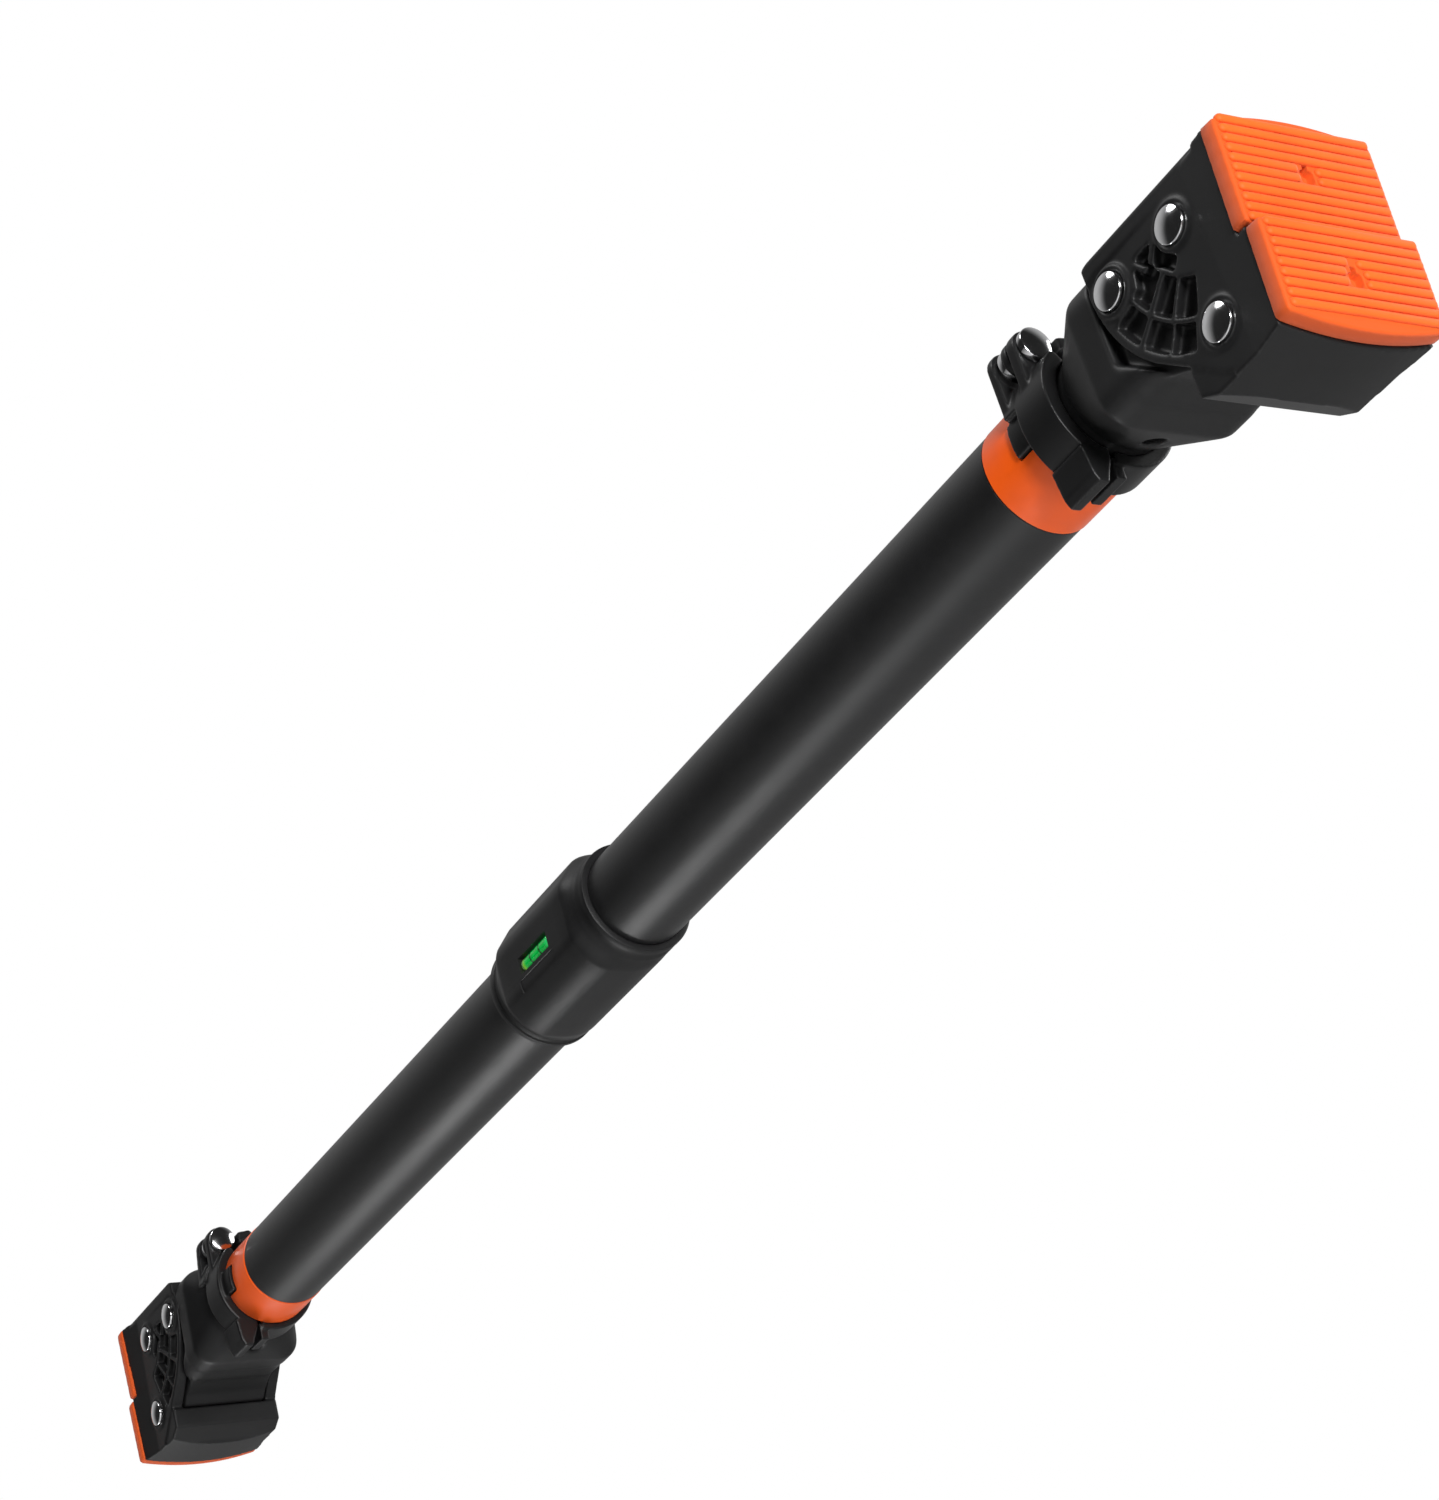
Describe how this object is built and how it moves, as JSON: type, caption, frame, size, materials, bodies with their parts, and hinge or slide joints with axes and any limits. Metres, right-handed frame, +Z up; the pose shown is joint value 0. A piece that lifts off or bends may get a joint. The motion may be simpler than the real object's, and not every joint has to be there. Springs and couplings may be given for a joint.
{
  "type": "doorway pull up bar",
  "caption": "Doorway pull up bar: two black tubes joined under a centre sleeve, with screw-out ribbed end heads locked by hinged collars.",
  "frame": {"origin": "the middle of the bar, on the tube's axis, under the centre sleeve", "axes": "+X along the bar to the right head, -Y towards the user, +Z up; the gates' hinges are above and the feet of the heads below"},
  "size_m": [0.8386, 0.056, 0.0742],
  "materials": {
    "tube_black": "matte black powder coat",
    "steel": "zinc plated",
    "bright_steel": "bright nickel plated",
    "black_plastic": "satin moulded black",
    "ring_orange": "satin moulded orange",
    "pad_orange": "soft moulded orange",
    "vial_clear": "clear",
    "vial_green": "green liquid",
    "vial_back": "pale reflector"
  },
  "bodies": {
    "bar": {"left_tube": "tube_black", "right_tube": "tube_black", "joiner_tube": "steel", "joiner_screws": "steel", "centre_sleeve": "black_plastic", "level_vial": "vial_clear", "level_liquid": "vial_green", "level_backing": "vial_back", "left_ring": "ring_orange", "right_ring": "ring_orange", "left_nut": "steel", "right_nut": "steel"},
    "left_head": {"left_spindle": "steel", "left_cross_pin": "steel", "left_neck": "black_plastic", "left_core_plate": "steel", "left_shell": "black_plastic", "left_rivets": "bright_steel", "left_upper_pad": "pad_orange", "left_lower_pad": "pad_orange", "left_pad_screws": "steel", "left_keeper": "black_plastic", "left_hinge_pin": "bright_steel"},
    "right_head": {"right_spindle": "steel", "right_cross_pin": "steel", "right_neck": "black_plastic", "right_core_plate": "steel", "right_shell": "black_plastic", "right_rivets": "bright_steel", "right_upper_pad": "pad_orange", "right_lower_pad": "pad_orange", "right_pad_screws": "steel", "right_keeper": "black_plastic", "right_hinge_pin": "bright_steel"},
    "left_lock": {"left_gate": "black_plastic"},
    "right_lock": {"right_gate": "black_plastic"}
  },
  "joints": [
    {"name": "left_extend", "type": "slide", "parent": "bar", "child": "left_head", "axis": [-1, 0, 0], "range_m": [0, 0.05]},
    {"name": "right_extend", "type": "slide", "parent": "bar", "child": "right_head", "axis": [1, 0, 0], "range_m": [0, 0.05]},
    {"name": "left_gate_hinge", "type": "hinge", "parent": "left_head", "child": "left_lock", "pos_m": [-0.3175, -0.01452, 0.02253], "axis": [-1, 0, 0], "range_deg": [0, 80]},
    {"name": "right_gate_hinge", "type": "hinge", "parent": "right_head", "child": "right_lock", "pos_m": [0.3175, -0.01452, 0.02253], "axis": [-1, 0, 0], "range_deg": [0, 80]}
  ]
}
